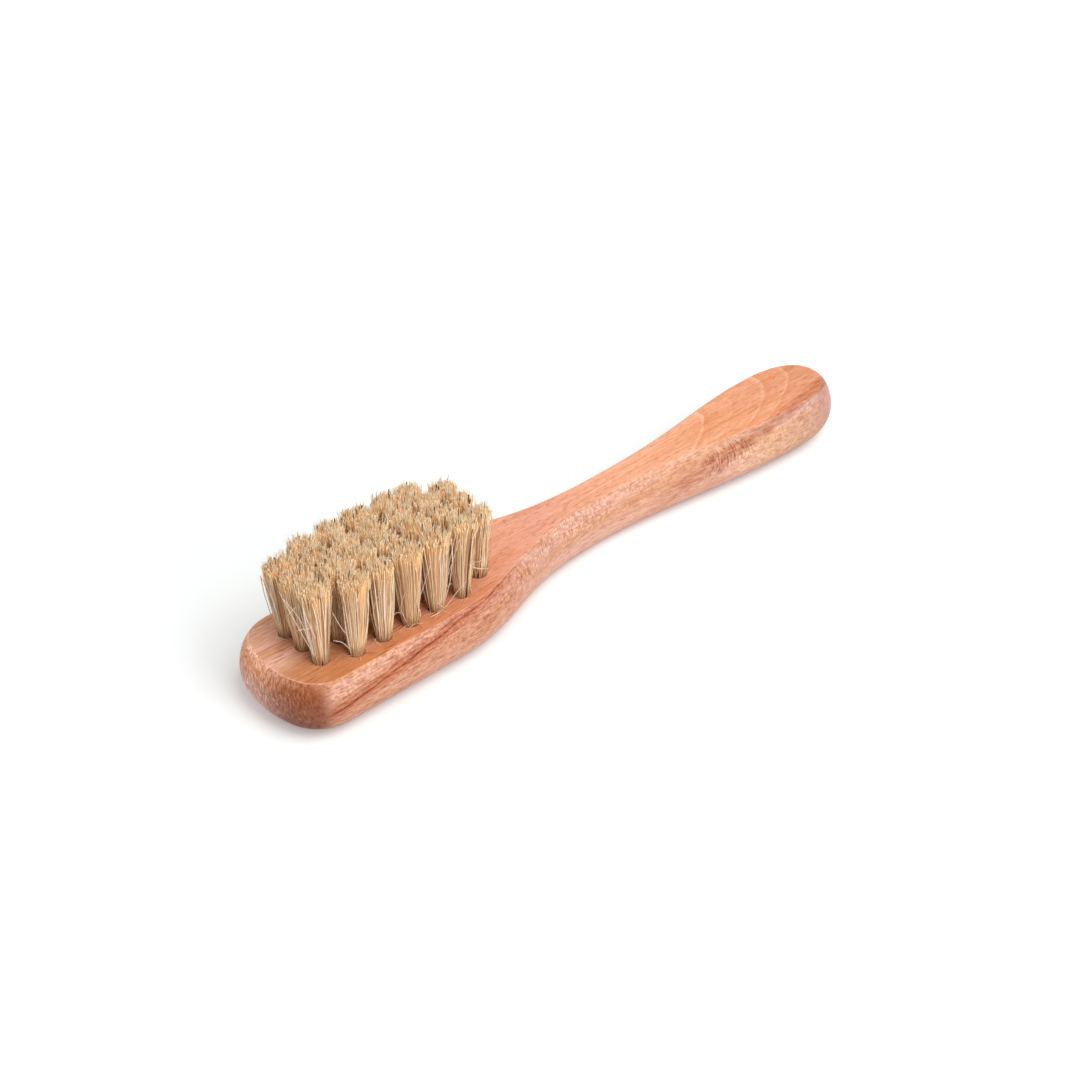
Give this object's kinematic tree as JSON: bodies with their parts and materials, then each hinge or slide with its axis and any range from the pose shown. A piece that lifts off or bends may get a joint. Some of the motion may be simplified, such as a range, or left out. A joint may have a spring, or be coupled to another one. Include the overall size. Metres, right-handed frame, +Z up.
{
  "type": "boar bristle brush",
  "caption": "Small wooden clothes brush lying on its back: broad head with upright bristle tufts, slim neck and swelling grip in solid wood.",
  "frame": {"origin": "middle of the brush's length and width, on the surface that its rounded back rests on", "axes": "+X along the brush from the tip of the head to the end of the handle, +Z up along the bristles, +Y across the head"},
  "size_m": [0.165, 0.0306, 0.0328],
  "materials": {
    "wood": "planed and sanded pinkish orange hardwood with a thin satin oil finish",
    "bristle": "natural blond boar bristle with a few dark hairs",
    "staple_wire": "plain drawn steel wire"
  },
  "bodies": {
    "root": {"handle_body": "wood", "tuft_01": "bristle", "tuft_02": "bristle", "tuft_03": "bristle", "tuft_04": "bristle", "tuft_05": "bristle", "tuft_06": "bristle", "tuft_07": "bristle", "tuft_08": "bristle", "tuft_09": "bristle", "tuft_10": "bristle", "tuft_11": "bristle", "tuft_12": "bristle", "tuft_13": "bristle", "tuft_14": "bristle", "tuft_15": "bristle", "tuft_16": "bristle", "tuft_17": "bristle", "tuft_18": "bristle", "tuft_19": "bristle", "tuft_20": "bristle", "tuft_21": "bristle", "tuft_22": "bristle", "tuft_23": "bristle", "tuft_24": "bristle", "tuft_25": "bristle", "tuft_26": "bristle", "staple_01": "staple_wire", "staple_02": "staple_wire", "staple_03": "staple_wire", "staple_04": "staple_wire", "staple_05": "staple_wire", "staple_06": "staple_wire", "staple_07": "staple_wire", "staple_08": "staple_wire", "staple_09": "staple_wire", "staple_10": "staple_wire", "staple_11": "staple_wire", "staple_12": "staple_wire", "staple_13": "staple_wire", "staple_14": "staple_wire", "staple_15": "staple_wire", "staple_16": "staple_wire", "staple_17": "staple_wire", "staple_18": "staple_wire", "staple_19": "staple_wire", "staple_20": "staple_wire", "staple_21": "staple_wire", "staple_22": "staple_wire", "staple_23": "staple_wire", "staple_24": "staple_wire", "staple_25": "staple_wire", "staple_26": "staple_wire"}
  },
  "joints": []
}
